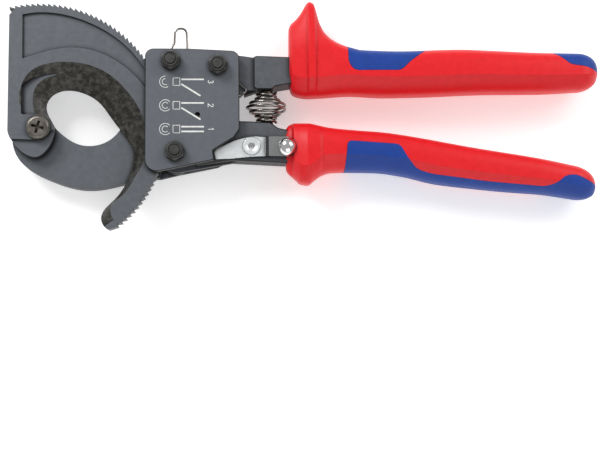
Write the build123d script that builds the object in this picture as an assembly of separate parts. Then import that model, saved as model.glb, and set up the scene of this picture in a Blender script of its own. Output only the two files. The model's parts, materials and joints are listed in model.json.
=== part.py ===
from build123d import *
import math
import os

# A ratchet cable cutter lying flat: +X runs from the blades to the grip ends,
# +Y from the moving handle to the fixed one, +Z up from the surface it lies on.

# ---- heights of the stacked layers -------------------------------------------------
HEAD_HEIGHT = 2.6          # round bolt heads under the rear plate
PLATE = 2.5                # each side plate
RUNNING_GAP = 0.1          # between sliding faces
REAR_LOW = HEAD_HEIGHT
REAR_TOP = REAR_LOW + PLATE
FIXED_LOW = REAR_TOP + RUNNING_GAP
FIXED_TOP = FIXED_LOW + 5.8
EAR_TOP = FIXED_LOW + 2.8
EYE_LOW = EAR_TOP + RUNNING_GAP
MOVING_LOW = FIXED_TOP + RUNNING_GAP
MOVING_TOP = MOVING_LOW + 6.0
FRONT_LOW = MOVING_TOP + 0.3
FRONT_TOP = FRONT_LOW + PLATE
ARM_TOP = 15.5
GRIP_MIDDLE = 11.2
PAWL_TOP = 15.4

WASHER_TOP = ARM_TOP + 0.3
LEVER_TOP = WASHER_TOP + 1.3
TAB_LOW = LEVER_TOP - 0.1
TAB_TOP = TAB_LOW + 1.3
BAR_LOW = 7.3
BAR_TOP = 15.1

# ---- axes --------------------------------------------------------------------------
BLADE_PIVOT = (-111.6, -6.5)
TOP_BOLT = (-56.8, 21.1)
HANDLE_BOLT = (-37.3, 19.2)
HINGE_BOLT = (-55.0, -17.2)
BOLTS = (TOP_BOLT, HANDLE_BOLT, HINGE_BOLT)
DRIVE_PIN = (-45.7, -1.5)
HOLD_PIN = (-50.0, 14.5)
LEVER_RIVET = (-23.3, -14.2)
KNOB = (-8.5, -15.0)
SPRING_X = -16.7
DOWEL = (-32.0, 12.6)

# ---- ratchet teeth -----------------------------------------------------------------
TIP_RADIUS = 53.0
ROOT_RADIUS = 51.8
TOOTH_PITCH = 2.5          # degrees
FIRST_TOOTH = 104.0        # degrees, at the open end of the toothed edge
TEETH = 63
DRIVE_TIP_ANGLE = -6.0
HOLD_TIP_ANGLE = 14.0
TIP_CLEARANCE = 0.5

# ---- fasteners ---------------------------------------------------------------------
BOLT_RADIUS = 2.0
BOLT_SOCKET = 1.45
BOLT_HEAD = 4.75
NUT_FLATS = 7.0
NUT_HEIGHT = 4.0
COLLAR_HEIGHT = 1.1
COLLAR_RADIUS = 3.1
INSERT_RADIUS = 2.5
INSERT_DEPTH = 0.6        # how far the plastic ring sits inside the nut
BOLT_END = FRONT_TOP + 5.6
SLEEVE = 3.6
PIN_RADIUS = 2.0
PIN_CLEARANCE = 0.05
PIVOT_SHANK = 3.0
PIVOT_BUSH = 4.2
PIVOT_NUT_FLATS = 9.0
RIVET_RADIUS = 2.4
KNOB_STEM = 1.5

# ---- springs and wire --------------------------------------------------------------
SPRING_WIRE = 0.58
SPRING_SMALL = 4.0
SPRING_LARGE = 8.2
SPRING_TOP = 10.2
SPRING_FOOT = -3.8
HAIRPIN_WIRE = 0.4
LOOP_WIRE = 0.45


# ---- small helpers -----------------------------------------------------------------
def slab(face, low, high):
    """Solid over a flat outline, between two heights."""
    return extrude(Pos(0, 0, low) * face, amount=high - low)


def polygon(points):
    """Flat face with straight sides."""
    return make_face(Polyline(*points, close=True))


def rounded(points, radius):
    """Flat face with straight sides and every corner rounded."""
    face = polygon(points)
    return fillet(face.vertices(), radius)


def disc(centre, radius):
    """Flat round face."""
    return Pos(*centre) * Circle(radius)


def post(centre, radius, low, high):
    """Upright cylinder between two heights."""
    return slab(disc(centre, radius), low, high)


def sleeve(centre, outer, inner, low, high):
    """Upright tube between two heights."""
    return slab(disc(centre, outer) - disc(centre, inner), low, high)


def polar(centre, radius, degrees):
    """Point at an angle round a centre."""
    angle = math.radians(degrees)
    return (centre[0] + radius * math.cos(angle), centre[1] + radius * math.sin(angle))


def broken(solid, low, high, size):
    """The solid with its horizontal outer edges between two heights chamfered."""
    edges = [e for e in solid.edges() if low < e.center().Z < high]
    return chamfer(edges, size)


def wire_along(points, corner, radius):
    """Round wire along a path with rounded corners."""
    path = FilletPolyline(*points, radius=corner)
    section = Plane(origin=path @ 0, z_dir=path % 0) * Circle(radius)
    return sweep(section, path=path)


# ---- the side plates ---------------------------------------------------------------
def round_corners(face, corners, radius):
    """Face with the named corners of its outline rounded."""
    picked = [v for v in face.vertices() for x, y in corners if abs(v.X - x) < 0.01 and abs(v.Y - y) < 0.01]
    return fillet(picked, radius)


def plate_face(lower_edge):
    """Side plate outline: a shared top, then a lower edge that ends at the left corner."""
    top_corners = [(-67.5, 26.6), (-28.3, 25.6)]
    top_radius = 3.4
    left_radius = 5.0
    bend_radius = 0.8
    face = polygon([top_corners[0], (-50.0, 26.6), top_corners[1]] + lower_edge)
    face = round_corners(face, lower_edge[:-1], bend_radius)
    face = round_corners(face, lower_edge[-1:], left_radius)
    return round_corners(face, top_corners, top_radius)


def front_plate():
    """Front side plate, notched at its lower right for the locking lever."""
    lower_edge = [(-28.3, -7.6), (-30.6, -11.0), (-39.4, -16.4),
                  (-38.9, -20.4), (-67.5, -26.4)]
    plate = slab(plate_face(lower_edge), FRONT_LOW, FRONT_TOP)
    plate = broken(plate, FRONT_TOP - 0.01, FRONT_TOP + 0.01, 0.35)
    for bolt in BOLTS:
        plate -= post(bolt, BOLT_RADIUS, FRONT_LOW, FRONT_TOP)
    sight_hole = 1.1
    return plate - post(DRIVE_PIN, sight_hole, FRONT_LOW, FRONT_TOP)


def rear_plate():
    """Rear side plate, deeper at the bottom than the front one."""
    lower_edge = [(-28.3, -14.0), (-31.4, -18.2), (-37.6, -21.4),
                  (-53.8, -24.6), (-67.5, -27.8)]
    plate = slab(plate_face(lower_edge), REAR_LOW, REAR_TOP)
    plate = broken(plate, REAR_LOW - 0.01, REAR_LOW + 0.01, 0.35)
    for bolt in BOLTS:
        plate -= post(bolt, BOLT_RADIUS, REAR_LOW, REAR_TOP)
    for pin in (HOLD_PIN, DOWEL):
        plate -= post(pin, PIN_RADIUS, REAR_LOW, REAR_TOP)
    return plate


# ---- the blades --------------------------------------------------------------------
def toothed_edge():
    """Saw teeth round the blade pivot, each with its steep face anticlockwise."""
    points = []
    for tooth in range(TEETH):
        angle = FIRST_TOOTH - tooth * TOOTH_PITCH
        points.append(polar(BLADE_PIVOT, ROOT_RADIUS, angle))
        points.append(polar(BLADE_PIVOT, TIP_RADIUS, angle - 0.1))
    return points


def moving_cutting_edge():
    """Hooked cutting edge, from the pivot eye over the opening to the tail."""
    over = [(-105.4, -6.6), (-107.7, -1.5), (-109.2, 3.4), (-107.0, 7.9), (-101.6, 10.3), (-95.3, 9.7)]
    down = [(-86.9, 4.9), (-82.7, -0.6), (-76.4, -9.0), (-72.7, -15.5), (-73.0, -21.5), (-75.8, -29.3)]
    tail = [(-80.4, -36.1), (-84.5, -40.1), (-86.0, -43.7), (-84.6, -47.4)]
    return over + down + tail


def bevel_edge():
    """Outer boundary of the ground bevel on the moving blade's front face."""
    over = [(-118.8, 2.0), (-119.0, 11.0), (-115.3, 17.3), (-107.1, 20.9), (-98.8, 21.4), (-90.5, 20.0)]
    down = [(-82.2, 15.9), (-76.0, 10.1), (-69.5, 0.5), (-66.6, -9.5), (-67.6, -20.1), (-72.0, -28.0)]
    tail = [(-76.9, -35.1), (-81.4, -39.4), (-81.5, -42.0), (-80.2, -45.0)]
    return over + down + tail


def beside(points, distance):
    """Points along the curve through the given ones, moved sideways to its right."""
    curve = Spline(*points)
    count = 2 * len(points)
    moved = []
    for step in range(count + 1):
        place = curve @ (step / count)
        along = curve % (step / count)
        moved.append((place.X + along.Y * distance, place.Y - along.X * distance))
    return moved


def region_inside(edge_points, height):
    """Closed face on the cable side of an edge, at one height, clear of the blade's left rim."""
    edge = Spline(*edge_points)
    back = Polyline(edge_points[-1], (-95.0, -56.0), (-112.0, -30.0), (-112.0, -5.0), edge_points[0])
    return Pos(0, 0, height) * make_face([edge, back])


def moving_blade():
    """Toothed hook blade that turns about the pivot screw in the front layer."""
    left_side = -124.3
    tail_end = (-82.2, -49.0)
    teeth = toothed_edge()
    rim = Polyline(*teeth, tail_end)
    edge_points = moving_cutting_edge()
    edge = Spline(tail_end, *reversed(edge_points))
    lobe = Spline(edge_points[0], (-107.8, -15.0), (-112.4, -18.5), (-118.6, -16.2), (left_side, -6.5))
    side = Polyline((left_side, -6.5), (left_side, 41.5), (-122.2, 44.0), teeth[0])
    face = make_face([rim, edge, lobe, side])
    blade = slab(face, MOVING_LOW, MOVING_TOP)

    edge_land = 0.9
    overshoot = 0.5
    fall = 0.25
    low = region_inside(beside(edge_points, overshoot), MOVING_LOW + edge_land - fall)
    high = region_inside(bevel_edge(), MOVING_TOP)
    ground_away = loft([low, high])
    eye_boss = polygon([(-130, -0.9), (-112.5, -0.9), (-108, -2.5), (-104, -8), (-104, -25), (-130, -25)])
    blade -= ground_away - slab(eye_boss, MOVING_LOW, MOVING_TOP)

    pocket_depth = 2.2
    pocket_points = [(-118.8, -0.9), (-118.8, 11.5), (-115.0, 14.6),
                     (-109.5, 16.6), (-104.0, 16.9), (-108.0, -0.9)]
    pocket = rounded(pocket_points, 1.0)
    blade -= slab(pocket, MOVING_TOP - pocket_depth, MOVING_TOP)

    eye_step = 1.2
    lower_eye = polygon([(-130, -10.8), (-111.5, -11.6), (-106.6, -7.6),
                         (-100, -6), (-100, -25), (-130, -25)])
    blade -= slab(lower_eye, MOVING_TOP - eye_step, MOVING_TOP)

    upper_border = Spline((-118.8, 41.6), (-111.5, 42.6), (-99.0, 41.0),
                          (-86.5, 36.0), (-74.0, 26.6), (-65.5, 13.5))
    lower_border = Spline((-66.5, 9.0), (-73.9, 17.6), (-86.4, 25.4),
                          (-98.9, 27.6), (-111.3, 25.2), (-118.6, 22.8))
    ends = [Line((-65.5, 13.5), (-66.5, 9.0)), Line((-118.6, 22.8), (-118.8, 41.6))]
    panel_depth = 1.0
    panel = make_face([upper_border, lower_border] + ends)
    blade -= slab(panel, MOVING_TOP - panel_depth, MOVING_TOP)

    bore = PIVOT_BUSH + PIN_CLEARANCE
    return blade - post(BLADE_PIVOT, bore, MOVING_LOW, MOVING_TOP)


def fixed_blade():
    """Crescent blade in the rear layer, with a web that reaches two of the bolts."""
    outer = Spline((-123.4, -9.5), (-119.2, -20.3), (-107.5, -27.5),
                   (-91.5, -31.5), (-77.0, -29.2), (-62.0, -26.3))
    inner_points = [(-106.0, -5.0), (-101.5, -9.2), (-95.2, -12.6), (-91.1, -13.1),
                    (-86.9, -12.5), (-82.7, -10.5), (-78.6, -6.4), (-75.5, 0.0)]
    inner = Spline(*inner_points)
    web = Polyline((-75.5, 0.0), (-70.0, 11.0), (-64.5, 21.0), (-56.5, 14.0), (-56.5, -10.0), (-62.0, -26.3))
    left = Polyline(inner_points[0], (-108.8, 0.0), (-116.0, 1.5), (-122.6, -3.0), (-123.4, -9.5))
    lug_radius = 7.0
    ear_radius = 7.5
    face = make_face([outer, web, inner, left]) + disc(TOP_BOLT, lug_radius)
    thin_ear = disc(HINGE_BOLT, ear_radius)
    blade = slab(face, FIXED_LOW, FIXED_TOP) + slab(thin_ear, FIXED_LOW, EAR_TOP)
    handle_room = disc(HINGE_BOLT, ear_radius + 0.5)
    handle_room += polygon([(-63, -15), (-56.4, 4), (-40, 4), (-40, -32), (-63, -32)])
    blade -= slab(handle_room, EAR_TOP, FIXED_TOP)
    blade -= post(BLADE_PIVOT, PIVOT_SHANK, FIXED_LOW, FIXED_TOP)
    for bolt in (TOP_BOLT, HINGE_BOLT):
        blade -= post(bolt, BOLT_RADIUS, FIXED_LOW, FIXED_TOP)
    return blade


# ---- the fasteners -----------------------------------------------------------------
def round_head(centre, radius, low, high):
    """Low round screw head with a rounded crown, crown side down."""
    head = post(centre, radius, low, high)
    crown = [e for e in head.edges() if e.center().Z < low + 0.01]
    return fillet(crown, 0.8 * (high - low))


def housing_bolts():
    """The three bolts that hold the plates together; one is the handle hinge."""
    bolts = []
    for centre in BOLTS:
        head = round_head(centre, BOLT_HEAD, 0, HEAD_HEIGHT)
        socket = Pos(*centre) * RegularPolygon(BOLT_SOCKET, 6)
        bolts.append(head + post(centre, BOLT_RADIUS, HEAD_HEIGHT, BOLT_END) - slab(socket, 0, 1.6))
    return Compound(bolts)


def hexagon(centre, flats):
    """Hexagon with one corner pointing down."""
    return Pos(*centre) * Rot(0, 0, 30) * RegularPolygon(flats / 2, 6, major_radius=False)


def lock_nuts():
    """Locking nuts on the front plate, each with a round collar on top."""
    nuts = []
    for centre in BOLTS:
        body = slab(hexagon(centre, NUT_FLATS), FRONT_TOP, FRONT_TOP + NUT_HEIGHT)
        cone_height = 3.0
        cone_spread = 2.6
        crown_inset = 0.1
        limit = Pos(centre[0], centre[1], FRONT_TOP + NUT_HEIGHT - cone_height)
        limit *= Cone(NUT_FLATS / 2 + cone_spread, NUT_FLATS / 2 - crown_inset, cone_height,
                      align=(Align.CENTER, Align.CENTER, Align.MIN))
        lower = post(centre, NUT_FLATS, FRONT_TOP, FRONT_TOP + NUT_HEIGHT - cone_height)
        body = body & (limit + lower)
        collar_low = FRONT_TOP + NUT_HEIGHT
        collar = post(centre, COLLAR_RADIUS, collar_low, collar_low + COLLAR_HEIGHT)
        insert_room = post(centre, INSERT_RADIUS, collar_low - INSERT_DEPTH, collar_low + COLLAR_HEIGHT)
        nuts.append(body + collar - insert_room - post(centre, BOLT_RADIUS, FRONT_TOP, BOLT_END))
    return Compound(nuts)


def nut_inserts():
    """Plastic locking rings held in the nut collars."""
    low = FRONT_TOP + NUT_HEIGHT - INSERT_DEPTH
    high = FRONT_TOP + NUT_HEIGHT + COLLAR_HEIGHT - 0.2
    return Compound([sleeve(centre, INSERT_RADIUS, BOLT_RADIUS, low, high) for centre in BOLTS])


def spacer_sleeves():
    """Sleeves that hold the front plate clear of the toothed blade."""
    places = (TOP_BOLT, HINGE_BOLT)
    return Compound([sleeve(centre, SLEEVE, BOLT_RADIUS, FIXED_TOP, FRONT_LOW) for centre in places])


def bolt_shims():
    """Washers each side of the fixed handle's root."""
    outer = 6.0
    rear = sleeve(HANDLE_BOLT, outer, BOLT_RADIUS, REAR_TOP, BAR_LOW)
    front = sleeve(HANDLE_BOLT, outer, BOLT_RADIUS, BAR_TOP, FRONT_LOW)
    return Compound([rear, front])


def blade_pivot_screw():
    """Pan-head screw with a cross recess, clamped through both blades."""
    head_low = MOVING_TOP + 0.1
    head_top = head_low + 2.4
    head_radius = 4.9
    recess_depth = 1.4
    head = post(BLADE_PIVOT, head_radius, head_low, head_top)
    rim = [e for e in head.edges() if e.center().Z > head_top - 0.01]
    head = fillet(rim, 1.3)
    for turn in (-15, 75):
        slot = Pos(BLADE_PIVOT[0], BLADE_PIVOT[1]) * Rot(0, 0, turn) * Rectangle(5.2, 1.1)
        head -= slab(slot, head_top - recess_depth, head_top)
    return head + post(BLADE_PIVOT, PIVOT_SHANK, REAR_LOW + 0.3, head_low)


def blade_pivot_bush():
    """Plain bearing bush that the moving blade turns on."""
    return sleeve(BLADE_PIVOT, PIVOT_BUSH, PIVOT_SHANK, FIXED_TOP, MOVING_TOP + 0.1)


def blade_pivot_nut():
    """Thin nut of the pivot screw, under the fixed blade."""
    nut = slab(hexagon(BLADE_PIVOT, PIVOT_NUT_FLATS), REAR_LOW + 0.6, FIXED_LOW)
    return nut - post(BLADE_PIVOT, PIVOT_SHANK, REAR_LOW, FIXED_LOW)


# ---- the fixed handle --------------------------------------------------------------
def fixed_handle_bar():
    """Forged bar: root between the plates, thin neck, thick shoulder, tang."""
    root_points = [(-44.0, 9.5), (-44.0, 25.4), (-33.0, 25.4), (-20.0, 23.6), (-20.0, 10.4), (-28.0, 9.5)]
    root = slab(rounded(root_points, 1.5), BAR_LOW, BAR_TOP)
    shoulder_points = [(-22.2, 10.6), (-22.2, 23.8), (-21.0, 24.3), (-7.0, 23.8), (-3.0, 22.0),
                       (-3.0, 13.0), (-12.9, 11.3), (-14.5, 10.0), (-20.8, 10.0)]
    shoulder = slab(rounded(shoulder_points, 0.6), FIXED_LOW, MOVING_TOP)
    shoulder = broken(shoulder, MOVING_TOP - 0.01, MOVING_TOP + 0.01, 0.4)
    tang_points = [(-5.0, 13.5), (-5.0, 22.5), (104.0, 21.0), (104.0, 14.5)]
    tang = slab(polygon(tang_points), BAR_LOW + 0.5, BAR_TOP - 0.5)
    catch_points = [(-26.4, 8.2), (-26.4, 12.0), (-21.0, 12.0), (-21.0, 10.2)]
    catch = slab(rounded(catch_points, 0.4), BAR_LOW, GRIP_MIDDLE)
    bar = root + shoulder + tang + catch
    bar -= post(HANDLE_BOLT, BOLT_RADIUS, BAR_LOW, BAR_TOP)
    bar -= post(DOWEL, PIN_RADIUS, BAR_LOW, BAR_TOP)
    return bar - spring_peg(SPRING_TOP - 0.2, 1)


def handle_dowel():
    """Dowel that keeps the fixed handle from turning on its bolt."""
    return post(DOWEL, PIN_RADIUS, REAR_LOW, BAR_TOP)


def spring_peg(seat, side):
    """Peg that centres one end of the return spring, pressed into its handle."""
    peg_radius = 2.6
    into = 4.0
    out = 2.6
    low = seat - out if side > 0 else seat - into
    turned = Pos(SPRING_X, low, GRIP_MIDDLE) * Rot(-90, 0, 0)
    return turned * Cylinder(peg_radius, into + out, align=(Align.CENTER, Align.CENTER, Align.MIN))


def grip_body(stations):
    """Grip lofted through rounded sections: place along X, top, bottom, thickness, corner."""
    sections = []
    for place, top, bottom, thick, corner in stations:
        plane = Plane(origin=(place, (top + bottom) / 2, GRIP_MIDDLE), x_dir=(0, 1, 0), z_dir=(1, 0, 0))
        sections.append(plane * RectangleRounded(top - bottom, thick, corner))
    return loft(sections)


def fixed_grip_whole():
    """The fixed handle's grip with its tall finger guard, before the soft pads are let in."""
    stations = [(-7.1, 29.5, 9.2, 18.0, 4.5), (-1.0, 30.5, 7.4, 21.0, 5.5), (10.0, 29.5, 8.0, 21.6, 6.0),
                (25.0, 27.1, 8.3, 22.0, 7.0), (42.0, 26.8, 8.0, 22.0, 7.0), (65.0, 27.6, 8.8, 22.0, 7.0),
                (100.0, 26.4, 9.3, 21.0, 7.0), (116.0, 25.8, 10.3, 19.0, 6.5), (122.3, 23.6, 12.6, 14.0, 4.5),
                (125.4, 20.4, 15.4, 6.0, 2.0)]
    guard_face = polygon([(-7.0, 14.0), (-7.0, 38.2), (-3.9, 41.3), (-0.9, 45.9), (0.9, 48.8), (3.8, 48.0),
                          (4.9, 43.0), (6.6, 37.6), (10.5, 32.5), (15.0, 29.8), (22.0, 27.4), (22.0, 18.0)])
    guard_half = 8.6
    guard = slab(guard_face, GRIP_MIDDLE - guard_half, GRIP_MIDDLE + guard_half)
    faces = guard.faces().filter_by(Axis.Z)
    guard = chamfer(faces.edges(), 1.8)
    return grip_body(stations) + guard


def fixed_pad_regions():
    """Outlines of the two soft pads along the top of the fixed grip."""
    thumb = [(17.4, 40.0), (17.4, 21.0), (19.9, 17.4), (39.8, 17.4), (42.8, 20.5), (48.0, 24.8), (54.0, 40.0)]
    end = [(102.0, 40.0), (104.5, 25.6), (108.6, 22.8), (111.1, 20.2),
           (119.3, 19.1), (130.0, 14.5), (130.0, 40.0)]
    return polygon(thumb), polygon(end)


def moving_pad_region():
    """Outline of the soft pad along the underside of the moving grip."""
    front = [(15.4, -45.0), (15.4, -26.5), (16.8, -12.8), (38.4, -14.2),
             (41.6, -20.1), (44.5, -23.7), (49.5, -25.9)]
    back = [(74.3, -29.5), (99.6, -31.8), (103.4, -31.1), (107.2, -27.9), (110.8, -26.7), (118.0, -28.9),
            (121.5, -33.0), (128.0, -34.0), (128.0, -45.0)]
    return polygon(front + back)


def pad_core(points):
    """Hard core under a soft pad, so that the pad is a skin round it."""
    half_core = 8.0
    return slab(polygon(points), GRIP_MIDDLE - half_core, GRIP_MIDDLE + half_core)


def pad_solid(grip, region, core):
    """Soft pad: the part of the grip inside an outline, outside the hard core."""
    reach = 20.0
    return (grip & slab(region, GRIP_MIDDLE - reach, GRIP_MIDDLE + reach)) - core


def grip_set(grip, regions, cores, tang):
    """A hard grip with its soft pads let in and the tang's hole, then the pads."""
    pads = [pad_solid(grip, region, core) for region, core in zip(regions, cores)]
    hard = grip
    for pad in pads:
        hard -= pad
    return hard - tang, pads


# ---- the moving handle -------------------------------------------------------------
def moving_handle_arm():
    """Forged arm: eye on the hinge bolt, horn for the drive pawl, shoulder, tang."""
    eye = 7.3
    horn = 4.6
    low_face = disc(HINGE_BOLT, eye) + disc(DRIVE_PIN, horn)
    low_face += polygon([(-61.3, -13.6), (-49.7, 0.8), (-43.0, 2.3),
                         (-28.0, -3.2), (-28.0, -19.8), (-53.5, -24.4)])
    layer = slab(low_face, EYE_LOW, FIXED_TOP)
    body_points = [(-46.5, -22.0), (-46.5, -10.5), (-39.0, -8.5), (-36.5, -3.4), (-28.0, -3.3), (-15.5, -3.8),
                   (-12.0, -6.2), (-4.0, -8.0), (-4.0, -21.4), (-31.5, -19.9)]
    body = slab(rounded(body_points, 0.8), FIXED_LOW, ARM_TOP)
    body = broken(body, ARM_TOP - 0.01, ARM_TOP + 0.01, 0.5)
    tang_points = [(-6.0, -10.0), (10.0, -10.5), (50.0, -14.5), (100.0, -22.5),
                   (100.0, -29.0), (50.0, -22.5), (10.0, -20.0), (-6.0, -20.0)]
    tang = slab(polygon(tang_points), BAR_LOW, ARM_TOP - 0.8)
    arm = layer + body + tang
    ear_room = 8.2
    arm -= post(HINGE_BOLT, ear_room, FIXED_LOW, EYE_LOW)
    arm -= post(HINGE_BOLT, SLEEVE + PIN_CLEARANCE, EYE_LOW, FIXED_TOP)
    arm -= post(DRIVE_PIN, PIN_RADIUS, EYE_LOW, FIXED_TOP)
    arm -= post(LEVER_RIVET, RIVET_RADIUS, FIXED_LOW, ARM_TOP)
    return arm - spring_peg(SPRING_FOOT, -1)


def hinge_bush():
    """Bush on the hinge bolt that the moving handle's eye turns on."""
    return sleeve(HINGE_BOLT, SLEEVE, BOLT_RADIUS, EAR_TOP, FIXED_TOP)


def moving_grip_whole():
    """The moving handle's grip, before the soft pad is let in, relieved under the thumb knob."""
    stations = [(-8.6, -5.2, -21.0, 11.0, 3.0), (-5.5, -4.2, -26.0, 17.0, 5.0), (0.5, -4.0, -29.9, 21.0, 6.0),
                (6.0, -5.0, -26.6, 21.6, 6.5), (12.0, -6.1, -24.8, 21.8, 7.0), (20.0, -7.1, -24.5, 22.0, 7.0),
                (34.0, -8.4, -25.5, 22.0, 7.0), (48.0, -10.5, -28.2, 22.0, 7.0),
                (70.0, -14.6, -31.6, 22.0, 7.0), (98.0, -19.3, -33.9, 21.0, 6.5),
                (113.0, -22.4, -36.2, 19.0, 6.0), (119.5, -25.6, -35.4, 13.0, 4.0),
                (122.6, -28.6, -33.6, 6.0, 2.0)]
    relief = rounded([(-12.0, -23.4), (-12.0, -6.4), (-3.4, -8.4), (-3.4, -21.6)], 1.5)
    return grip_body(stations) - slab(relief, TAB_LOW - 0.4, TAB_LOW + 10.0)


# ---- the pawls ---------------------------------------------------------------------
def pawl(pin, tip, eye, near_width, far_width):
    """Flat pawl: an eye on its pin and a tapered strut, wider on one side, to a chisel tip."""
    length = math.dist(pin, tip)
    along = ((tip[0] - pin[0]) / length, (tip[1] - pin[1]) / length)
    across = (-along[1], along[0])

    def at(forward, side):
        x = pin[0] + along[0] * forward + across[0] * side
        y = pin[1] + along[1] * forward + across[1] * side
        return x, y

    strut = polygon([at(0, -eye), at(0, eye), at(length - 3.0, near_width), at(length, 0.0),
                     at(length - 1.2, -0.9), at(length - 4.5, -far_width)])
    face = disc(pin, eye) + strut
    plate = slab(face, MOVING_LOW, PAWL_TOP)
    return plate - post(pin, PIN_RADIUS + PIN_CLEARANCE, MOVING_LOW, PAWL_TOP)


def drive_pawl():
    """Pawl on the moving handle that pushes the teeth round at each squeeze."""
    tip = polar(BLADE_PIVOT, TIP_RADIUS + TIP_CLEARANCE, DRIVE_TIP_ANGLE)
    return pawl(DRIVE_PIN, tip, 4.0, 0.9, 2.4)


def holding_pawl():
    """Pawl on the frame that keeps the blade from opening between squeezes."""
    tail = polygon([(-52.6, 14.5), (-52.0, 20.5), (-48.4, 20.5), (-46.6, 14.5)])
    tail_solid = slab(tail, MOVING_LOW, PAWL_TOP)
    tail_solid -= post(HOLD_PIN, PIN_RADIUS + PIN_CLEARANCE, MOVING_LOW, PAWL_TOP)
    tip = polar(BLADE_PIVOT, TIP_RADIUS + TIP_CLEARANCE, HOLD_TIP_ANGLE)
    body = pawl(HOLD_PIN, tip, 3.8, 2.2, 2.2) + tail_solid
    return body - wire_loop()


def wire_loop():
    """Release loop: a bent wire whose long leg is fixed in the holding pawl's tail."""
    level = 13.4
    route = [(-58.1, 25.9), (-55.6, 30.6), (-55.3, 36.8), (-50.6, 36.8), (-50.2, 30.0), (-50.2, 17.6)]
    return wire_along([(x, y, level) for x, y in route], 2.2, LOOP_WIRE)


def drive_pawl_pin():
    """Pin of the drive pawl, riveted in the horn; its end shows in the sight hole."""
    return post(DRIVE_PIN, PIN_RADIUS, EYE_LOW, FRONT_LOW - 0.2)


def holding_pawl_pin():
    """Pin of the holding pawl, pressed into the rear plate."""
    return post(HOLD_PIN, PIN_RADIUS, REAR_LOW, FRONT_LOW)


def pawl_spring():
    """Hairpin spring whose bend hooks behind the fixed handle's catch."""
    level = 16.2
    route = [(-44.3, 4.6), (-36.0, 5.6), (-28.2, 6.6), (-25.0, 9.6),
             (-28.6, 12.4), (-36.0, 11.6), (-43.6, 11.2)]
    return wire_along([(x, y, level) for x, y in route], 0.9, HAIRPIN_WIRE)


# ---- the locking lever -------------------------------------------------------------
def lever_washer():
    """Spring washer that drags on the locking lever."""
    return sleeve(LEVER_RIVET, 4.4, RIVET_RADIUS, ARM_TOP, WASHER_TOP)


def lever_rivet():
    """Hollow rivet that the locking lever swings on."""
    hole = 1.4
    flange_radius = 3.7
    flange_low = LEVER_TOP + 0.06
    flange_top = flange_low + 0.5
    shank = post(LEVER_RIVET, RIVET_RADIUS, FIXED_LOW, flange_low)
    flange = post(LEVER_RIVET, flange_radius, flange_low, flange_top)
    return shank + flange - post(LEVER_RIVET, hole, FIXED_LOW, flange_top)


def lock_lever():
    """Pressed steel lever: pointed nose, and a raised tab for the thumb knob."""
    nose_points = [(-39.0, -16.4), (-37.8, -15.3), (-30.2, -11.9), (-25.2, -10.6),
                   (-21.6, -10.2), (-16.4, -10.7),
                   (-16.4, -18.4), (-24.0, -18.7), (-31.5, -19.4), (-38.2, -19.7)]
    nose = slab(rounded(nose_points, 0.5), WASHER_TOP, LEVER_TOP)
    tab_points = [(-17.6, -10.4), (-8.0, -10.4), (-5.8, -12.6), (-5.8, -16.8), (-8.0, -18.7), (-17.6, -18.5)]
    tab = slab(rounded(tab_points, 0.8), TAB_LOW, TAB_TOP)
    lever = nose + tab
    lever -= post(LEVER_RIVET, RIVET_RADIUS + PIN_CLEARANCE, WASHER_TOP, LEVER_TOP)
    return lever - post(KNOB, KNOB_STEM, TAB_LOW, TAB_TOP)


def lock_knob():
    """Round thumb knob riveted to the lever's tab."""
    radius = 3.8
    ball = Pos(KNOB[0], KNOB[1], TAB_TOP + 1.6) * Sphere(radius)
    keep = post(KNOB, radius + 1.0, TAB_TOP, TAB_TOP + 8.0)
    return (ball & keep) + post(KNOB, KNOB_STEM, TAB_LOW, TAB_TOP)


# ---- the return spring -------------------------------------------------------------
def return_spring():
    """Double-cone return spring between the handles, wide in the middle, as runs joined by arcs."""
    height = SPRING_TOP - SPRING_FOOT - 2 * SPRING_WIRE
    turns = 7
    corners_a_turn = 8
    count = turns * corners_a_turn
    points = []
    for step in range(count + 1):
        share = step / count
        bulge = math.sin(math.pi * min(max((share - 0.12) / 0.76, 0.0), 1.0)) ** 2
        radius = SPRING_SMALL + (SPRING_LARGE - SPRING_SMALL) * bulge
        angle = 2 * math.pi * turns * share
        level = SPRING_FOOT + SPRING_WIRE + height * share
        points.append((SPRING_X + radius * math.cos(angle), level, GRIP_MIDDLE + radius * math.sin(angle)))
    half_turn = math.pi / corners_a_turn
    radii = []
    for before, corner, after in zip(points, points[1:], points[2:]):
        shorter = min(math.dist(before, corner), math.dist(corner, after))
        radii.append(0.45 * shorter / math.tan(half_turn))
    path = FilletPolyline(*points, radius=radii)
    section = Plane(origin=path @ 0, z_dir=path % 0) * Circle(SPRING_WIRE)
    return sweep(section, path=path)


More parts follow.
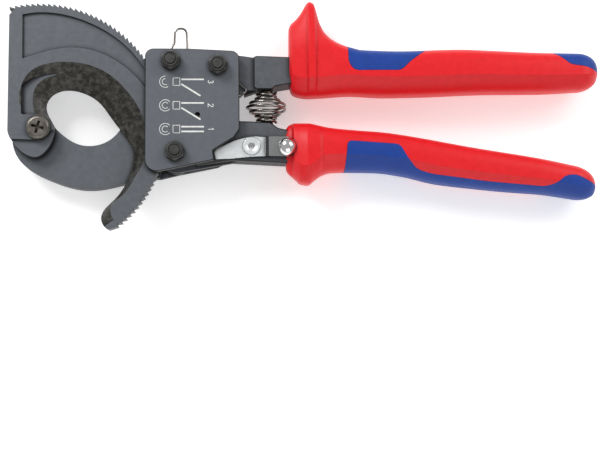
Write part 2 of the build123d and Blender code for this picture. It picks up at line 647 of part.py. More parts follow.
# ---- writing the pieces ------------------------------------------------------------
def all_pieces():
    """Every sub-part by name."""
    bar = fixed_handle_bar()
    arm = moving_handle_arm()
    fixed_cores = [pad_core([(10.0, 10.0), (10.0, 23.5), (60.0, 23.5), (60.0, 10.0)]),
                   pad_core([(98.0, 12.0), (98.0, 22.5), (119.0, 22.0), (119.0, 12.0)])]
    moving_core = pad_core([(10.0, -12.0), (10.0, -21.5), (30.0, -22.0), (50.0, -24.5), (90.0, -30.0),
                            (117.0, -32.5), (117.0, -22.0), (50.0, -12.0)])
    fixed_grip, fixed_pads = grip_set(fixed_grip_whole(), fixed_pad_regions(), fixed_cores, bar)
    moving_grip, moving_pads = grip_set(moving_grip_whole(), [moving_pad_region()], [moving_core], arm)
    return {
        "front_plate": front_plate(),
        "rear_plate": rear_plate(),
        "moving_blade": moving_blade(),
        "fixed_blade": fixed_blade(),
        "housing_bolts": housing_bolts(),
        "lock_nuts": lock_nuts(),
        "nut_inserts": nut_inserts(),
        "spacer_sleeves": spacer_sleeves(),
        "bolt_shims": bolt_shims(),
        "blade_pivot_screw": blade_pivot_screw(),
        "blade_pivot_bush": blade_pivot_bush(),
        "blade_pivot_nut": blade_pivot_nut(),
        "fixed_handle_bar": bar,
        "handle_dowel": handle_dowel(),
        "upper_spring_peg": spring_peg(SPRING_TOP - 0.2, 1),
        "fixed_grip": fixed_grip,
        "fixed_grip_thumb_pad": fixed_pads[0],
        "fixed_grip_end_pad": fixed_pads[1],
        "moving_handle_arm": arm,
        "hinge_bush": hinge_bush(),
        "lower_spring_peg": spring_peg(SPRING_FOOT, -1),
        "moving_grip": moving_grip,
        "moving_grip_pad": moving_pads[0],
        "drive_pawl": drive_pawl(),
        "drive_pawl_pin": drive_pawl_pin(),
        "holding_pawl": holding_pawl(),
        "holding_pawl_pin": holding_pawl_pin(),
        "release_wire": wire_loop(),
        "pawl_spring": pawl_spring(),
        "lever_washer": lever_washer(),
        "lever_rivet": lever_rivet(),
        "lock_lever": lock_lever(),
        "lock_knob": lock_knob(),
        "return_spring": return_spring(),
    }


os.makedirs("parts", exist_ok=True)
for name, piece in all_pieces().items():
    export_step(piece, f"parts/{name}.step")
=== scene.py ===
"""A ratchet cable cutter on a pale floor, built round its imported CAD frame."""
import json
import math

import bmesh
import bpy
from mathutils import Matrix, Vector


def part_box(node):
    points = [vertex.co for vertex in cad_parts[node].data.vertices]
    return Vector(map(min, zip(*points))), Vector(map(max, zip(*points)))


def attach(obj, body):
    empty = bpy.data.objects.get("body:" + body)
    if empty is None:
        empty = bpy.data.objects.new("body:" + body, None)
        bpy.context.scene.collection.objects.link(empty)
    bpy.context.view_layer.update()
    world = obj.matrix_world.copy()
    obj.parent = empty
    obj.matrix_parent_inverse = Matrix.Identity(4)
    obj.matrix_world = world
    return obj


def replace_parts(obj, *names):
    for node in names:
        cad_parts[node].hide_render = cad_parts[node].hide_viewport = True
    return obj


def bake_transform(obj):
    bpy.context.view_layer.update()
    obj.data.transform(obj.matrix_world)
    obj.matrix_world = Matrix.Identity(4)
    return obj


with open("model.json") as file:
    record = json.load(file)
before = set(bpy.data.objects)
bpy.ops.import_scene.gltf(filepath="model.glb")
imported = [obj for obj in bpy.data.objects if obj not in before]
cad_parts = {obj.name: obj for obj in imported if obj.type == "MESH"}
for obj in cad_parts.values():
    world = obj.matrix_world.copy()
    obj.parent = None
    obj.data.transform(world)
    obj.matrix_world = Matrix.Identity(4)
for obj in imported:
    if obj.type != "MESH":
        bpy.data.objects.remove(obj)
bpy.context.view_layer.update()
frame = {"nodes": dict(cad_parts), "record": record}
scene = bpy.context.scene
MM = 0.001
FRAME_BODY = "frame_body"
HANDLE_BODY = "handle_body"
GRIP_MIDDLE = sum(v.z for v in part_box("fixed_grip")) / 2 / MM


# ---- small helpers -----------------------------------------------------------------
def link(obj):
    """Puts an object in the scene."""
    scene.collection.objects.link(obj)
    return obj


def smooth_through(points, x):
    """Height at x of a smooth curve through the points, with no overshoot between them."""
    if x <= points[0][0]:
        return points[0][1]
    if x >= points[-1][0]:
        return points[-1][1]
    steps = [(b[0] - a[0], (b[1] - a[1]) / (b[0] - a[0])) for a, b in zip(points, points[1:])]
    slopes = [steps[0][1]]
    for (_, left), (_, right) in zip(steps, steps[1:]):
        slopes.append(0.0 if left * right <= 0 else 2 * left * right / (left + right))
    slopes.append(steps[-1][1])
    i = max(k for k in range(len(steps)) if points[k][0] <= x)
    width = steps[i][0]
    t = (x - points[i][0]) / width
    rise = points[i + 1][1] - points[i][1]
    start = slopes[i] * width
    end = slopes[i + 1] * width
    return points[i][1] + t * start + t * t * (3 * rise - 2 * start - end) + t ** 3 * (start + end - 2 * rise)


def step_up(x, start, end):
    """Smooth rise from 0 to 1 between two places."""
    t = min(max((x - start) / (end - start), 0.0), 1.0)
    return t * t * (3 - 2 * t)


def mesh_object(name, build):
    """New mesh object in metres, whose vertices a function makes in millimetres."""
    mesh = bpy.data.meshes.new(name)
    work = bmesh.new()
    build(work)
    bmesh.ops.scale(work, vec=(MM, MM, MM), verts=work.verts)
    bmesh.ops.recalc_face_normals(work, faces=work.faces)
    work.to_mesh(mesh)
    work.free()
    mesh.polygons.foreach_set("use_smooth", [True] * len(mesh.polygons))
    return link(bpy.data.objects.new(name, mesh))


def skin(work, rings):
    """Closed surface over a row of rings with the same number of points."""
    made = [[work.verts.new(point) for point in ring] for ring in rings]
    for ring, following in zip(made, made[1:]):
        for i in range(len(ring)):
            j = (i + 1) % len(ring)
            work.faces.new((ring[i], ring[j], following[j], following[i]))
    work.faces.new(made[0])
    work.faces.new(list(reversed(made[-1])))


def prism(name, outline, low, high):
    """Upright prism over an outline in millimetres."""
    return mesh_object(name, lambda work: skin(work, [[(x, y, z) for x, y in outline] for z in (low, high)]))


def cut_with(piece, tool, operation):
    """Applies a boolean of piece with tool."""
    modifier = piece.modifiers.new("cut", "BOOLEAN")
    modifier.operation = operation
    modifier.object = tool
    modifier.solver = "EXACT"
    evaluated = piece.evaluated_get(bpy.context.evaluated_depsgraph_get())
    mesh = bpy.data.meshes.new_from_object(evaluated)
    piece.modifiers.clear()
    piece.data = mesh
    return piece


def copy_of(piece, name):
    """A second object with its own copy of the mesh."""
    other = piece.copy()
    other.data = piece.data.copy()
    other.name = name
    return link(other)


def drop(obj):
    """Removes a helper object."""
    bpy.data.objects.remove(obj)


# ---- materials ---------------------------------------------------------------------
# Painted shade: the first colour darkens sloping and upright steel faces, the next two darken the blade's
# sloping faces with lighter grinding streaks, the fourth darkens crevices, and the fifth is shade on the lock
# lever's joggle step.
SLOPE_AND_SIDE_SHADE = (0.010, 0.010, 0.011)
GROUND_SLOPE_SHADE = (0.014, 0.013, 0.011)
GROUND_STREAKS_IN_SHADE = (0.085, 0.082, 0.070)
CREVICE_SHADE = (0.006, 0.006, 0.006)
JOGGLE_SHADE = (0.05, 0.05, 0.052)
TAB_GREY = (0.27, 0.28, 0.28)
BLOTCH_SCALE = 400.0
GRINDING_SCALE = 420.0
ROUGHNESS_SPREAD = 0.06
GRIP_SPECULAR = 0.32
EDGE_SOFTENING = 0.3 * MM
RELIEF_DEPTH = 0.05 * MM
STEEL_REACH, PLATED_REACH, SMALL_REACH = 2.2 * MM, 2.0 * MM, 1.2 * MM
LEVER_TAB = 11.8 * MM
JOGGLE_BAND = 1.4 * MM


def noise(made, scale, detail, roughness=0.5):
    """Noise that is fixed to the object."""
    nodes, links = made.node_tree.nodes, made.node_tree.links
    node = nodes.new("ShaderNodeTexNoise")
    node.inputs["Scale"].default_value = scale
    node.inputs["Detail"].default_value = detail
    node.inputs["Roughness"].default_value = roughness
    links.new(nodes["Texture Coordinate"].outputs["Object"], node.inputs["Vector"])
    return node.outputs["Fac"]


def mixed(made, factor, first, second):
    """Mix of two colours, each a socket or plain numbers, by a factor socket."""
    nodes, links = made.node_tree.nodes, made.node_tree.links
    node = nodes.new("ShaderNodeMix")
    node.data_type = "RGBA"
    links.new(factor, node.inputs["Factor"])
    for name, value in (("A", first), ("B", second)):
        if isinstance(value, tuple):
            node.inputs[name].default_value = (*value, 1.0)
        else:
            links.new(value, node.inputs[name])
    return node.outputs["Result"]


def ramp(made, value, low, high, to_low=0.0, to_high=1.0):
    """A value between two levels, spread over another range."""
    nodes, links = made.node_tree.nodes, made.node_tree.links
    node = nodes.new("ShaderNodeMapRange")
    node.inputs["From Min"].default_value = low
    node.inputs["From Max"].default_value = high
    node.inputs["To Min"].default_value = to_low
    node.inputs["To Max"].default_value = to_high
    links.new(value, node.inputs["Value"])
    return node.outputs["Result"]


def base_colour(made):
    """What feeds a material's colour so far, and the socket that it feeds."""
    socket = made.node_tree.nodes["Principled BSDF"].inputs["Base Color"]
    return socket.links[0].from_socket, socket


def material(name, colour, dark, metallic, roughness, grain, bump):
    """Procedural surface: mottled colour, uneven roughness, fine grain and softened edges."""
    made = bpy.data.materials.new(name)
    made.use_nodes = True
    nodes, links = made.node_tree.nodes, made.node_tree.links
    nodes.new("ShaderNodeTexCoord")
    shader = nodes["Principled BSDF"]
    shader.inputs["Metallic"].default_value = metallic

    blotches = ramp(made, noise(made, BLOTCH_SCALE, detail=6.0), low=0.3, high=0.7)
    links.new(mixed(made, blotches, dark, colour), shader.inputs["Base Color"])

    shine = noise(made, BLOTCH_SCALE * 2, detail=3.0)
    uneven = ramp(made, shine, 0.0, 1.0, roughness - ROUGHNESS_SPREAD, roughness + ROUGHNESS_SPREAD)
    links.new(uneven, shader.inputs["Roughness"])

    soft = nodes.new("ShaderNodeBevel")
    soft.samples = 4
    soft.inputs["Radius"].default_value = EDGE_SOFTENING
    relief = nodes.new("ShaderNodeBump")
    relief.inputs["Strength"].default_value = bump
    relief.inputs["Distance"].default_value = RELIEF_DEPTH
    links.new(noise(made, grain, detail=4.0), relief.inputs["Height"])
    links.new(soft.outputs["Normal"], relief.inputs["Normal"])
    links.new(relief.outputs["Normal"], shader.inputs["Normal"])
    return made


def levelness(made):
    """1 where a surface faces straight up or down, and 0 where it stands upright."""
    nodes, links = made.node_tree.nodes, made.node_tree.links
    facing = nodes.new("ShaderNodeNewGeometry")
    parts = nodes.new("ShaderNodeSeparateXYZ")
    links.new(facing.outputs["True Normal"], parts.inputs["Vector"])
    size = nodes.new("ShaderNodeMath")
    size.operation = "ABSOLUTE"
    links.new(parts.outputs["Z"], size.inputs[0])
    return size.outputs["Value"]


def paint_shade(made, reach, slope_shade_colour=None, streaks=None):
    """Darkens crevices as deep as the reach with painted shade, and paints shade on sloping and upright faces
    so that they differ from flat ones.
    """
    nodes, links = made.node_tree.nodes, made.node_tree.links
    colour, socket = base_colour(made)
    # Painted shade: faces that slope or stand upright take a darker colour than flat faces, with grinding
    # streaks on them where given.
    if slope_shade_colour:
        level = levelness(made)
        slope_shade = slope_shade_colour
        if streaks:
            grinding = noise(made, GRINDING_SCALE, detail=9.0, roughness=0.72)
            slope_shade = mixed(made, ramp(made, grinding, low=0.42, high=0.66), slope_shade_colour, streaks)
            slope_shade = mixed(made, ramp(made, level, low=0.2, high=0.4), SLOPE_AND_SIDE_SHADE, slope_shade)
        colour = mixed(made, ramp(made, level, low=0.965, high=0.995), slope_shade, colour)
    # Painted shade: ambient occlusion darkens crevices and places close to other parts and to the floor.
    hollow = nodes.new("ShaderNodeAmbientOcclusion")
    hollow.samples = 6
    hollow.inputs["Distance"].default_value = reach
    open_share = ramp(made, hollow.outputs["AO"], low=0.42, high=0.95)
    links.new(mixed(made, open_share, CREVICE_SHADE, colour), socket)


def grey_beyond(made, place, band):
    """Greys the surface beyond a place along X, after a dark band of painted shade on the step of a pressed
    joggle.
    """
    nodes, links = made.node_tree.nodes, made.node_tree.links
    colour, socket = base_colour(made)
    blur = 0.2 * MM
    parts = nodes.new("ShaderNodeSeparateXYZ")
    links.new(nodes["Texture Coordinate"].outputs["Object"], parts.inputs["Vector"])
    along = parts.outputs["X"]
    colour = mixed(made, ramp(made, along, place, place + blur), colour, JOGGLE_SHADE)
    beyond = ramp(made, along, place + band, place + band + blur)
    links.new(mixed(made, beyond, colour, TAB_GREY), socket)


# name: colour, its darker blotches, metallic, roughness, scale of the fine grain, strength of its relief
FINISHES = {
    "plate_steel": ((0.132, 0.143, 0.162), (0.118, 0.128, 0.146), 0.30, 0.44, 9000, 0.20),
    "blade_steel": ((0.128, 0.138, 0.155), (0.108, 0.117, 0.132), 0.35, 0.42, 7000, 0.30),
    "forged_steel": ((0.112, 0.120, 0.136), (0.088, 0.094, 0.106), 0.35, 0.46, 4000, 0.40),
    "fastener_steel": ((0.095, 0.095, 0.090), (0.060, 0.060, 0.057), 0.60, 0.32, 8000, 0.30),
    "insert_plastic": ((0.035, 0.035, 0.036), (0.020, 0.020, 0.021), 0.0, 0.55, 6000, 0.30),
    "bright_steel": ((0.235, 0.215, 0.185), (0.110, 0.100, 0.088), 0.80, 0.36, 9000, 0.30),
    "spring_steel": ((0.34, 0.32, 0.30), (0.16, 0.15, 0.14), 1.0, 0.24, 9000, 0.15),
    "plated_steel": ((0.90, 0.92, 0.93), (0.80, 0.83, 0.85), 0.55, 0.28, 6000, 0.12),
    "chrome": ((0.80, 0.80, 0.80), (0.70, 0.70, 0.70), 1.0, 0.12, 9000, 0.03),
    "grip_red": ((0.76, 0.010, 0.016), (0.70, 0.007, 0.012), 0.0, 0.40, 5200, 0.35),
    "grip_blue": ((0.004, 0.046, 0.300), (0.003, 0.038, 0.250), 0.0, 0.50, 4200, 0.60),
    "print_white": ((0.82, 0.82, 0.80), (0.70, 0.70, 0.69), 0.0, 0.60, 5000, 0.20),
}


def make_materials():
    """Every finish as a material, with painted shade in its crevices and, on the steels, on sloping and
    upright faces and the lever's joggle step.
    """
    made = {name: material(name, *finish) for name, finish in FINISHES.items()}
    for steel in ("plate_steel", "forged_steel"):
        paint_shade(made[steel], STEEL_REACH, SLOPE_AND_SIDE_SHADE)
    paint_shade(made["blade_steel"], STEEL_REACH, GROUND_SLOPE_SHADE, GROUND_STREAKS_IN_SHADE)
    for plain in ("fastener_steel", "bright_steel", "grip_red", "grip_blue"):
        paint_shade(made[plain], SMALL_REACH)
    paint_shade(made["plated_steel"], PLATED_REACH)
    for soft in ("grip_red", "grip_blue"):
        shader = made[soft].node_tree.nodes["Principled BSDF"]
        shader.inputs["Specular IOR Level"].default_value = GRIP_SPECULAR
    grey_beyond(made["plated_steel"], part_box("lock_lever")[1].x - LEVER_TAB, JOGGLE_BAND)
    return made


MATERIALS = make_materials()


def paint(obj, name):
    """Gives an object one material."""
    obj.data.materials.clear()
    obj.data.materials.append(MATERIALS[name])
    return obj


def paint_cad_nodes():
    """Every CAD node gets the procedural material of its slot."""
    for row in frame["record"]["subparts"]:
        node = frame["nodes"].get(row["node"])
        if node:
            for slot in node.material_slots:
                slot.material = MATERIALS[row["material_slot"]]


# ---- the grips: places along X, and heights or thicknesses there ---------------------
FIXED_TOP = [(-7.2, 38.1), (-6.1, 39.2), (-4.0, 41.2), (-2.2, 43.6), (-0.9, 45.8), (0.6, 48.2), (1.6, 48.8),
             (3.2, 48.2), (4.3, 45.6), (5.7, 40.1), (7.6, 35.8), (10.5, 32.5), (14.8, 29.9), (19.1, 28.4),
             (23.8, 27.3), (40.1, 26.8), (56.5, 27.4), (65.2, 27.6), (77.3, 27.2), (99.9, 26.3),
             (116.0, 26.1)]
FIXED_BOTTOM = [(-7.2, 11.0), (-6.0, 8.9), (-3.4, 7.8), (0.0, 7.3), (5.0, 7.5), (18.8, 8.4), (32.5, 7.8),
                (48.8, 8.1), (76.8, 9.2), (99.3, 9.4), (116.0, 10.2)]
FIXED_THICK = [(-7.2, 15.6), (-6.2, 17.6), (0.2, 18.8), (0.9, 20.9), (3.6, 20.9), (4.4, 19.2), (12.0, 20.8),
               (30.0, 22.0), (70.0, 22.0), (100.0, 21.0), (116.0, 19.6)]
MOVING_TOP = [(-9.2, -6.6), (-7.3, -4.6), (-5.0, -4.0), (0.7, -4.1), (5.0, -5.0), (10.1, -6.1), (18.6, -7.0),
              (32.2, -8.1), (46.7, -10.3), (68.9, -14.4), (98.4, -19.3), (113.0, -22.3)]
MOVING_BOTTOM = [(-9.2, -19.6), (-8.9, -23.6), (-5.1, -27.5), (-2.6, -29.6), (0.4, -30.0), (3.0, -28.2),
                 (6.1, -26.0), (10.4, -24.7), (16.8, -24.5), (28.9, -24.7), (40.1, -26.2), (54.7, -29.6),
                 (69.9, -31.5), (84.6, -33.0), (99.8, -34.2), (113.0, -36.2)]
MOVING_THICK = [(-9.2, 9.6), (-6.4, 12.4), (-5.6, 18.4), (0.0, 21.8), (5.2, 21.8), (6.4, 20.4), (14.0, 21.4),
                (40.0, 22.0), (70.0, 22.0), (98.0, 21.0), (113.0, 19.4)]
THUMB_PAD = [(17.4, 45.0), (17.4, 20.4), (19.9, 17.0), (39.8, 17.0), (43.0, 20.5), (49.0, 25.2), (58.0, 32.0),
             (58.0, 45.0)]
END_PAD = [(102.0, 40.0), (103.5, 26.4), (108.6, 22.8), (111.5, 20.0), (119.3, 19.0), (130.0, 15.0),
           (132.0, 40.0)]
MOVING_PAD = [(15.4, -45.0), (15.4, -26.0), (16.6, -12.6), (38.4, -14.2), (41.6, -20.1), (45.5, -24.4),
              (52.0, -26.4), (74.3, -29.5), (99.6, -31.8), (104.4, -30.6), (108.0, -27.4), (112.5, -26.9),
              (121.5, -31.0), (130.0, -34.0), (130.0, -45.0)]
FIXED_NOSE, MOVING_NOSE = 9.2, 9.6
PAD_CORNER, END_PAD_CORNER = 2.2, 2.0
RING_POINTS = 96
STATION_GAP = 0.5
SAME_PLACE = 0.02
RIM_LENGTH, RIM_DRAWN_IN = 0.9, 0.072
RIDGE_SHARE = 0.34
RIDGE_HEIGHT_LIMIT = 20.0
UPPER_SQUARENESS, LOWER_SQUARENESS = 3.3, 4.4
SLANT = 0.5
GUARD_FOOT, GUARD_RISE, GUARD_THINNING = 27, 18, 0.22
NOSE_BLUNTNESS = 0.8


def straight_through(points, x):
    """Height at x of straight runs through the points."""
    for (x0, y0), (x1, y1) in zip(points, points[1:]):
        if x <= x1:
            return y0 + (y1 - y0) * max(x - x0, 0.0) / (x1 - x0)
    return points[-1][1]


def grip_section(x, top, bottom, thick, guard_foot=None):
    """Ring of a grip: rounded above a ridge line, slanting inwards below it, thinner up the guard."""
    ring = []
    ridge = bottom + RIDGE_SHARE * min(top - bottom, RIDGE_HEIGHT_LIMIT)
    for i in range(RING_POINTS):
        angle = 2 * math.pi * i / RING_POINTS
        across, up = math.cos(angle), math.sin(angle)
        power = 2 / (UPPER_SQUARENESS if up > 0 else LOWER_SQUARENESS)
        rise = abs(up) ** power
        y = ridge + (top - ridge if up > 0 else bottom - ridge) * rise
        out = thick / 2 * math.copysign(abs(across) ** power, across)
        if up < 0:
            out *= 1 - SLANT * rise
        if guard_foot is not None:
            out *= 1 - GUARD_THINNING * step_up(y, guard_foot, guard_foot + GUARD_RISE)
        ring.append((x, y, GRIP_MIDDLE + out))
    return ring


def grip_mesh(name, tops, bottoms, thicks, nose, guard_foot=None):
    """Whole grip as one closed surface, with a domed far end of the given length."""
    first, shoulder = tops[0][0], tops[-1][0]
    count = int((shoulder - first) / STATION_GAP)
    even = [first + (shoulder - first) * step / count for step in range(count + 1)]
    creases = [x for x, _ in thicks if min(abs(x - other) for other in even) > SAME_PLACE]
    rings = []
    for x in sorted(even + creases):
        edge = 1.0 - RIM_DRAWN_IN * (1 - step_up(x, first, first + RIM_LENGTH)) ** 2
        top, bottom = smooth_through(tops, x), smooth_through(bottoms, x)
        middle = (top + bottom) / 2
        rings.append(grip_section(x, middle + (top - middle) * edge, middle + (bottom - middle) * edge,
                                  straight_through(thicks, x) * edge, guard_foot))
    top, bottom, thick = tops[-1][1], bottoms[-1][1], thicks[-1][1]
    fall = (tops[-1][1] - tops[-2][1]) / (tops[-1][0] - tops[-2][0])
    nose_steps = 24
    for step in range(1, nose_steps):
        turn = math.pi / 2 * step / nose_steps
        out, shrink = math.sin(turn) * nose, math.cos(turn) ** NOSE_BLUNTNESS
        middle = (top + bottom) / 2 + fall * out
        half = (top - bottom) / 2 * shrink
        rings.append(grip_section(shoulder + out, middle + half, middle - half, thick * shrink))
    return mesh_object(name, lambda work: skin(work, rings))


def rounded_outline(points, radius):
    """Outline with each corner replaced by a short curve, which takes under half of a side."""
    steps, most = 6, 0.45
    made = []
    for i, corner in enumerate(points):
        corner = Vector(corner)
        before, after = Vector(points[i - 1]) - corner, Vector(points[(i + 1) % len(points)]) - corner
        a = corner + before.normalized() * min(radius, before.length * most)
        b = corner + after.normalized() * min(radius, after.length * most)
        for step in range(steps + 1):
            t = step / steps
            made.append(tuple(a * (1 - t) ** 2 + corner * 2 * t * (1 - t) + b * t * t))
    return made


def inlay(grip, name, outline, body, node):
    """Cuts a soft pad out of a grip along an outline, with a fine groove between them."""
    groove = 0.12
    reach = 20
    low, high = GRIP_MIDDLE - reach, GRIP_MIDDLE + reach
    centre = Vector((sum(p[0] for p in outline), sum(p[1] for p in outline))) / len(outline)
    inner = [tuple(Vector(p) + (centre - Vector(p)).normalized() * groove) for p in outline]
    tool = prism("tool", outline, low, high)
    small = prism("tool_small", inner, low, high)
    pad = cut_with(copy_of(grip, name), small, "INTERSECT")
    cut_with(grip, tool, "DIFFERENCE")
    drop(tool)
    drop(small)
    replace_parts(paint(pad, "grip_blue"), node)
    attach(pad, body)
    shade_by_angle(pad)


def shade_by_angle(piece):
    """Smooth shading with sharp edges where the surface really turns."""
    sharp = math.radians(24)
    work = bmesh.new()
    work.from_mesh(piece.data)
    for edge in work.edges:
        edge.smooth = len(edge.link_faces) == 2 and edge.calc_face_angle(0) < sharp
    for face in work.faces:
        face.smooth = True
    work.to_mesh(piece.data)
    work.free()


def finish_grip(grip, body, node):
    """Paints a hard grip and hangs it on its body."""
    shade_by_angle(grip)
    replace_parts(paint(grip, "grip_red"), node)
    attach(grip, body)


def make_grips():
    """Both grips with their soft pads."""
    fixed = grip_mesh("fixed_grip_shell", FIXED_TOP, FIXED_BOTTOM, FIXED_THICK, FIXED_NOSE, GUARD_FOOT)
    thumb = rounded_outline(THUMB_PAD, PAD_CORNER)
    end = rounded_outline(END_PAD, END_PAD_CORNER)
    inlay(fixed, "fixed_grip_thumb_inlay", thumb, FRAME_BODY, "fixed_grip_thumb_pad")
    inlay(fixed, "fixed_grip_end_inlay", end, FRAME_BODY, "fixed_grip_end_pad")
    finish_grip(fixed, FRAME_BODY, "fixed_grip")

    moving = grip_mesh("moving_grip_shell", MOVING_TOP, MOVING_BOTTOM, MOVING_THICK, MOVING_NOSE)
    pad = rounded_outline(MOVING_PAD, PAD_CORNER)
    inlay(moving, "moving_grip_inlay", pad, HANDLE_BODY, "moving_grip_pad")
    finish_grip(moving, HANDLE_BODY, "moving_grip")


# ---- the return spring -------------------------------------------------------------
def make_return_spring():
    """Coil spring, widest in its middle, between the two handles."""
    low, high = (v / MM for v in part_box("return_spring"))
    wire = 0.58
    small, large = 4.0, 8.2
    turns, steps, sides = 7.0, 40, 14
    even_end = 0.12
    middle = Vector(((low.x + high.x) / 2, 0, GRIP_MIDDLE))
    foot, head = low.y + wire, high.y - wire
    count = int(turns * steps)
    centres = []
    for step in range(count + 1):
        share = step / count
        bulge = math.sin(math.pi * min(max((share - even_end) / (1 - 2 * even_end), 0.0), 1.0)) ** 2
        radius = small + (large - small) * bulge
        angle = 2 * math.pi * turns * share
        centres.append(Vector((middle.x + radius * math.cos(angle), foot + (head - foot) * share,
                               middle.z + radius * math.sin(angle))))
    turn = [2 * math.pi * k / sides for k in range(sides)]
    rings = []
    for i, centre in enumerate(centres):
        along = (centres[min(i + 1, count)] - centres[max(i - 1, 0)]).normalized()
        side = along.cross(Vector((0, 1, 0))).normalized()
        up = side.cross(along)
        rings.append([centre + side * wire * math.cos(a) + up * wire * math.sin(a) for a in turn])
    spring = mesh_object("return_spring_coil", lambda work: skin(work, rings))
    paint(spring, "spring_steel")
    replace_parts(spring, "return_spring")
    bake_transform(spring)


# ---- the locking lever's rivet -----------------------------------------------------
def turned(name, centre, profile):
    """Ring turned from a closed profile of radius and height, round an upright axis."""
    steps = 72

    def build(work):
        rings = []
        for step in range(steps):
            angle = 2 * math.pi * step / steps
            x, y = math.cos(angle), math.sin(angle)
            rings.append([work.verts.new((centre[0] + r * x, centre[1] + r * y, z)) for r, z in profile])
        for ring, following in zip(rings, rings[1:] + rings[:1]):
            for i in range(len(profile)):
                j = (i + 1) % len(profile)
                work.faces.new((ring[i], ring[j], following[j], following[i]))
    return mesh_object(name, build)


def make_rivet():
    """Hollow rivet with a dished flange, as set by a punch."""
    low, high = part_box("lever_rivet")
    centre = ((low.x + high.x) / 2 / MM, (low.y + high.y) / 2 / MM)
    foot, head = low.z / MM, high.z / MM
    hole, shank, flange = 1.4, 2.4, (high.x - low.x) / 2 / MM
    flange_thickness, bevel, rim = 0.5, 0.25, 0.8
    lip, dish, mouth = 0.5, 0.42, 0.55
    under = head - flange_thickness
    profile = [(hole, foot), (shank, foot), (shank, under), (flange, under), (flange, head - bevel),
               (flange - bevel, head), (flange - rim, head), (hole + lip, head - dish), (hole, head - mouth)]
    rivet = turned("lever_rivet_dished", centre, profile)
    shade_by_angle(rivet)
    paint(rivet, "plated_steel")
    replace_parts(rivet, "lever_rivet")
    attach(rivet, HANDLE_BODY)


# ---- printed step pictograms -------------------------------------------------------
def flat_stroke(work, points, width, level):
    """Thin raised band of paint along some points, in one piece."""
    thickness = 0.03
    sharpest = 0.4
    points = [Vector(point) for point in points]
    rings = []
    for i, here in enumerate(points):
        before = (here - points[i - 1]).normalized() if i else (points[1] - here).normalized()
        after = (points[i + 1] - here).normalized() if i + 1 < len(points) else before
        along = (before + after).normalized()
        reach = width / 2 / max(along.dot(after), sharpest)
        side = Vector((-along.y, along.x)) * reach
        left, right, top = here + side, here - side, level + thickness
        rings.append([(p.x, p.y, z) for p, z in ((left, level), (right, level), (right, top), (left, top))])
    skin(work, rings)


def arc(centre, radius, start, end, steps=14):
    """Points along a circle, from one angle to another in degrees."""
    angles = [math.radians(start + (end - start) * k / steps) for k in range(steps + 1)]
    return [(centre[0] + radius * math.cos(a), centre[1] + radius * math.sin(a)) for a in angles]


DIGITS = {
    1: [[(-0.5, 0.6), (0.1, 1.2), (0.1, -1.2)]],
    2: [[(-0.7, 0.7), (-0.3, 1.2), (0.4, 1.1), (0.7, 0.6), (-0.7, -1.2), (0.8, -1.2)]],
    3: [[(-0.6, 1.0), (0.0, 1.25), (0.6, 0.8), (0.1, 0.1), (0.7, -0.5), (0.1, -1.2), (-0.7, -0.9)]],
}


def make_pictograms():
    """Three plain step signs: jaw, housing and handles at three openings, each with its number."""
    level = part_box("front_plate")[1].z / MM + 0.005
    line, bar, digit_line = 0.3, 0.7, 0.34
    jaw, outer, inner = -59.0, 2.4, 1.3
    left, right, half_height = -55.8, -53.0, 1.6
    hinge, handle, half_gap = -52.4, 9.4, 1.0
    digit_place, digit_size = -40.2, 0.9
    # number, height on the plate, angle between the handles, where the jaw's arc starts and ends
    steps = [(1, -7.6, 0, 40, 320), (2, 2.4, 32, 40, 320), (3, 12.4, 32, 90, 300)]

    def build(work):
        for number, row, spread, jaw_from, jaw_to in steps:
            for radius in (outer, inner):
                flat_stroke(work, arc((jaw, row), radius, jaw_from, jaw_to), line, level)
            low, high = row - half_height, row + half_height
            box = [(left, low), (right, low), (right, high), (left, high), (left, low)]
            flat_stroke(work, box, line, level)
            upper, lower = row + half_gap, row - half_gap
            flat_stroke(work, [(hinge, upper), (hinge + handle, upper)], bar, level)
            fall = math.radians(-spread)
            end = (hinge + handle * math.cos(fall), lower + handle * math.sin(fall))
            flat_stroke(work, [(hinge, lower), end], bar, level)
            for stroke in DIGITS[number]:
                sideways = [(digit_place + y * digit_size, row - x * digit_size) for x, y in stroke]
                flat_stroke(work, sideways, digit_line, level)

    signs = mesh_object("step_signs", build)
    for face in signs.data.polygons:
        face.use_smooth = False
    paint(signs, "print_white")
    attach(signs, FRAME_BODY)


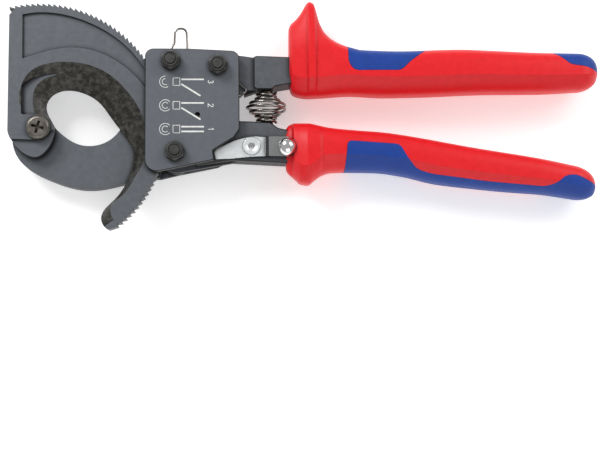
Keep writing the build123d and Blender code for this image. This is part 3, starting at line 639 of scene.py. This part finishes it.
# ---- floor, light and camera -------------------------------------------------------
def make_floor():
    """Plain pale floor just under the tool."""
    half = 3.0
    level = -0.0002
    mesh = bpy.data.meshes.new("floor")
    corners = [(-half, -half, level), (half, -half, level), (half, half, level), (-half, half, level)]
    mesh.from_pydata(corners, [], [(0, 1, 2, 3)])
    floor = link(bpy.data.objects.new("floor", mesh))
    pale = bpy.data.materials.new("pale_floor")
    pale.use_nodes = True
    shader = pale.node_tree.nodes["Principled BSDF"]
    shader.inputs["Base Color"].default_value = (0.92, 0.92, 0.92, 1)
    shader.inputs["Roughness"].default_value = 0.9
    shader.inputs["Emission Color"].default_value = (1, 1, 1, 1)
    shader.inputs["Emission Strength"].default_value = 0.38
    mesh.materials.append(pale)


def soft_light(name, place, size, watts):
    """Square area light that faces the tool's middle."""
    data = bpy.data.lights.new(name, "AREA")
    data.size = size
    data.energy = watts
    light = link(bpy.data.objects.new(name, data))
    light.location = place
    light.rotation_euler = (-Vector(place)).to_track_quat("-Z", "Y").to_euler()


def make_lights():
    """Studio light: a key from the upper left, one at the right, a low fill, none straight above."""
    soft_light("key", (-0.70, 0.75, 0.80), 0.5, 10.0)
    soft_light("side", (0.85, 0.55, 0.75), 0.7, 5.0)
    soft_light("fill", (0.10, -0.90, 0.60), 0.8, 3.0)
    world = bpy.data.worlds.new("studio")
    world.use_nodes = True
    world.node_tree.nodes["Background"].inputs["Color"].default_value = (1, 1, 1, 1)
    world.node_tree.nodes["Background"].inputs["Strength"].default_value = 0.46
    scene.world = world
    scene.view_settings.view_transform = "Standard"


def make_camera():
    """Camera above the tool and a little below its middle, looking down at it."""
    place = Vector((-27.2, -100.8, 510.6)) * MM
    target = Vector((-3.05, -46.8, 10.6)) * MM
    roll = math.radians(-0.54)
    data = bpy.data.cameras.new("camera")
    data.sensor_width = 36.0
    data.lens = 71.82
    camera = link(bpy.data.objects.new("camera", data))
    camera.location = place
    forward = (target - place).normalized()
    right = forward.cross(Vector((0, 1, 0))).normalized()
    up = right.cross(forward)
    turned_right = right * math.cos(roll) + up * math.sin(roll)
    turned_up = up * math.cos(roll) - right * math.sin(roll)
    matrix = camera.matrix_world.copy()
    for row in range(3):
        matrix[row][0] = turned_right[row]
        matrix[row][1] = turned_up[row]
        matrix[row][2] = -forward[row]
        matrix[row][3] = place[row]
    camera.matrix_world = matrix
    scene.camera = camera


paint_cad_nodes()
make_grips()
make_return_spring()
make_rivet()
make_pictograms()
make_floor()
make_lights()
make_camera()
